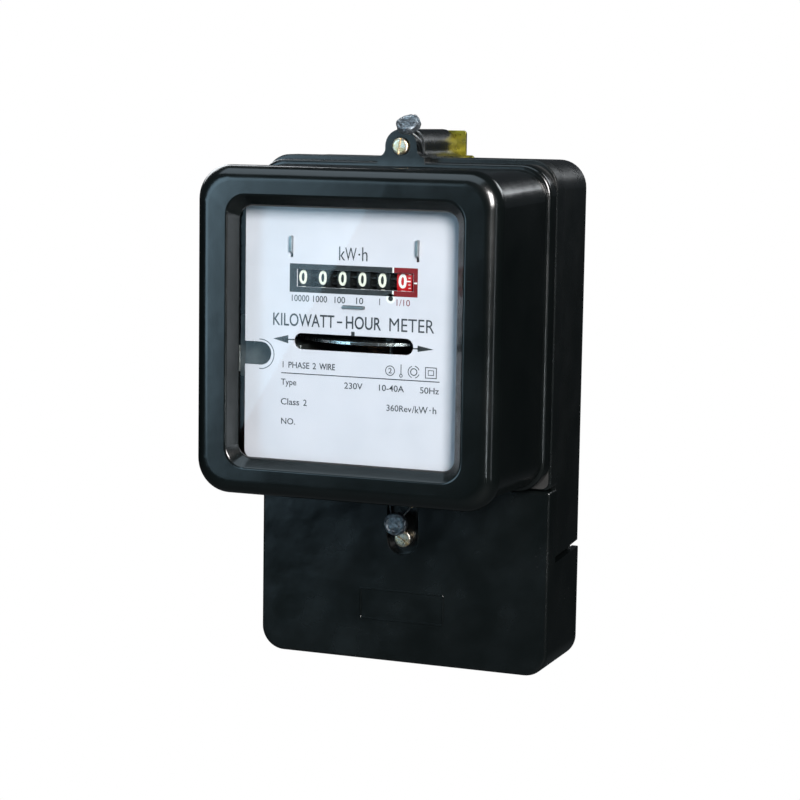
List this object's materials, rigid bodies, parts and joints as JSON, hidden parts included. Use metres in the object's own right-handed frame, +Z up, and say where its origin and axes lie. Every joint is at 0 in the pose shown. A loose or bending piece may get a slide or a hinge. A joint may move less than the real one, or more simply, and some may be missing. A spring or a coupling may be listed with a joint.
{
  "type": "analog dial electric meter",
  "caption": "Wall-hung induction electricity meter: black moulded case, window over a printed plate, number drums and spinning disc, and a separate sealed terminal cover.",
  "frame": {"origin": "on the wall plane, centred in width, 120 mm above the lowest edge of the case", "axes": "+X to the right as seen from the front, -Y out of the wall towards the reader, +Z up"},
  "size_m": [0.1342, 0.1135, 0.2383],
  "materials": {
    "phenolic_black": "glossy moulded phenolic",
    "phenolic_base": "satin moulded phenolic",
    "phenolic_block": "moulded phenolic, dull",
    "zinc_yellow": "yellow-passivated zinc on steel",
    "zinc_steel": "bright zinc-plated steel",
    "nickel_brass": "nickel-plated brass, worn",
    "brass": "turned brass",
    "copper": "bare copper",
    "enamel_wire": "varnished winding",
    "bobbin_nylon": "natural nylon",
    "lead_wire": "red insulated wire",
    "lamination": "stacked silicon-steel sheet",
    "cast_alloy": "pressure-cast alloy",
    "magnet_alloy": "cast magnet alloy",
    "disc_aluminium": "turned bright sheet",
    "shaft_steel": "ground steel",
    "register_sheet": "bright rolled sheet",
    "gear_nylon": "moulded white gear",
    "drum_black": "black with white figures",
    "drum_red": "red with white figures",
    "nameplate_silver": "satin silver, screen printed",
    "seal_rubber": "dull rubber strip",
    "glass": "clear sheet glass",
    "lead_alloy": "crimped lead with galvanised wire"
  },
  "bodies": {
    "case": {"base_case": "phenolic_base", "hanger_boss": "phenolic_base", "hanger_plate": "zinc_yellow", "hanger_rivets": "zinc_steel", "cover_gasket": "seal_rubber", "screw_inserts": "brass", "terminal_block": "phenolic_block", "line_terminals": "brass", "terminal_screws": "zinc_steel", "block_screws": "zinc_steel", "voltage_link": "brass", "link_screws": "zinc_steel", "main_frame": "cast_alloy", "frame_screws": "zinc_steel", "voltage_core": "lamination", "voltage_bobbin": "bobbin_nylon", "voltage_coil": "enamel_wire", "current_core": "lamination", "current_coils": "copper", "current_leads": "copper", "voltage_leads": "lead_wire", "lower_bearing": "nickel_brass", "upper_bearing": "nickel_brass", "brake_magnet": "magnet_alloy", "magnet_bracket": "zinc_steel", "light_load_lever": "zinc_steel", "phase_loop": "copper", "register_frame": "register_sheet", "register_screws": "zinc_steel", "drum_shaft": "shaft_steel", "pinion_shaft": "shaft_steel", "nameplate": "nameplate_silver"},
    "rotor": {"disc": "disc_aluminium", "spindle": "shaft_steel", "worm": "brass"},
    "lay_shaft": {"worm_wheel": "gear_nylon", "lay_shaft": "shaft_steel", "drive_pinion": "brass"},
    "idler": {"idler_gear": "gear_nylon"},
    "tenths": {"tenths_drum": "drum_red", "tenths_gear": "gear_nylon"},
    "units": {"units_drum": "drum_black"},
    "tens": {"tens_drum": "drum_black"},
    "hundreds": {"hundreds_drum": "drum_black"},
    "thousands": {"thousands_drum": "drum_black"},
    "ten_thousands": {"ten_thousands_drum": "drum_black"},
    "transfer_1": {"transfer_pinion_1": "gear_nylon"},
    "transfer_2": {"transfer_pinion_2": "gear_nylon"},
    "transfer_3": {"transfer_pinion_3": "gear_nylon"},
    "transfer_4": {"transfer_pinion_4": "gear_nylon"},
    "transfer_5": {"transfer_pinion_5": "gear_nylon"},
    "front_cover": {"main_cover": "phenolic_black", "window_gasket": "seal_rubber", "window_glass": "glass", "glass_clips": "zinc_steel", "cover_screw": "nickel_brass", "upper_seal": "lead_alloy"},
    "lower_cover": {"terminal_cover": "phenolic_black", "terminal_cover_screw": "nickel_brass", "lower_seal": "lead_alloy"}
  },
  "joints": [
    {"name": "disc_spin", "type": "hinge", "parent": "case", "child": "rotor", "pos_m": [0, -0.058, 0.0251], "axis": [0, 0, 1], "continuous": true},
    {"name": "lay_shaft_spin", "type": "hinge", "parent": "case", "child": "lay_shaft", "pos_m": [0, -0.06955, 0.063], "axis": [1, 0, 0], "continuous": true},
    {"name": "idler_spin", "type": "hinge", "parent": "case", "child": "idler", "pos_m": [0, -0.07539, 0.05916], "axis": [1, 0, 0], "continuous": true},
    {"name": "tenths_spin", "type": "hinge", "parent": "case", "child": "tenths", "pos_m": [0, -0.0875, 0.0512], "axis": [1, 0, 0], "continuous": true},
    {"name": "units_spin", "type": "hinge", "parent": "case", "child": "units", "pos_m": [0, -0.0875, 0.0512], "axis": [1, 0, 0], "continuous": true},
    {"name": "transfer_1_spin", "type": "hinge", "parent": "case", "child": "transfer_1", "pos_m": [0, -0.0812, 0.04029], "axis": [1, 0, 0], "continuous": true},
    {"name": "tens_spin", "type": "hinge", "parent": "case", "child": "tens", "pos_m": [0, -0.0875, 0.0512], "axis": [1, 0, 0], "continuous": true},
    {"name": "transfer_2_spin", "type": "hinge", "parent": "case", "child": "transfer_2", "pos_m": [0, -0.0812, 0.04029], "axis": [1, 0, 0], "continuous": true},
    {"name": "hundreds_spin", "type": "hinge", "parent": "case", "child": "hundreds", "pos_m": [0, -0.0875, 0.0512], "axis": [1, 0, 0], "continuous": true},
    {"name": "transfer_3_spin", "type": "hinge", "parent": "case", "child": "transfer_3", "pos_m": [0, -0.0812, 0.04029], "axis": [1, 0, 0], "continuous": true},
    {"name": "thousands_spin", "type": "hinge", "parent": "case", "child": "thousands", "pos_m": [0, -0.0875, 0.0512], "axis": [1, 0, 0], "continuous": true},
    {"name": "transfer_4_spin", "type": "hinge", "parent": "case", "child": "transfer_4", "pos_m": [0, -0.0812, 0.04029], "axis": [1, 0, 0], "continuous": true},
    {"name": "ten_thousands_spin", "type": "hinge", "parent": "case", "child": "ten_thousands", "pos_m": [0, -0.0875, 0.0512], "axis": [1, 0, 0], "continuous": true},
    {"name": "transfer_5_spin", "type": "hinge", "parent": "case", "child": "transfer_5", "pos_m": [0, -0.0812, 0.04029], "axis": [1, 0, 0], "continuous": true},
    {"name": "front_cover_slide", "type": "slide", "parent": "case", "child": "front_cover", "axis": [0, -1, 0], "range_m": [0, 0.12]},
    {"name": "lower_cover_slide", "type": "slide", "parent": "case", "child": "lower_cover", "axis": [0, -1, 0], "range_m": [0, 0.09]}
  ],
  "couplings": [
    {"joint": "lay_shaft_spin", "follows": "disc_spin", "ratio": -0.016667},
    {"joint": "idler_spin", "follows": "disc_spin", "ratio": 0.0046296},
    {"joint": "tenths_spin", "follows": "disc_spin", "ratio": -0.0027778},
    {"joint": "units_spin", "follows": "disc_spin", "ratio": -0.00027778},
    {"joint": "transfer_1_spin", "follows": "disc_spin", "ratio": 0.00069444},
    {"joint": "tens_spin", "follows": "disc_spin", "ratio": -0.000027778},
    {"joint": "transfer_2_spin", "follows": "disc_spin", "ratio": 0.000069444},
    {"joint": "hundreds_spin", "follows": "disc_spin", "ratio": -0.0000027778},
    {"joint": "transfer_3_spin", "follows": "disc_spin", "ratio": 0.0000069444},
    {"joint": "thousands_spin", "follows": "disc_spin", "ratio": -0.00000027778},
    {"joint": "transfer_4_spin", "follows": "disc_spin", "ratio": 0.00000069444},
    {"joint": "ten_thousands_spin", "follows": "disc_spin", "ratio": -0.000000027778},
    {"joint": "transfer_5_spin", "follows": "disc_spin", "ratio": 0.000000069444}
  ]
}
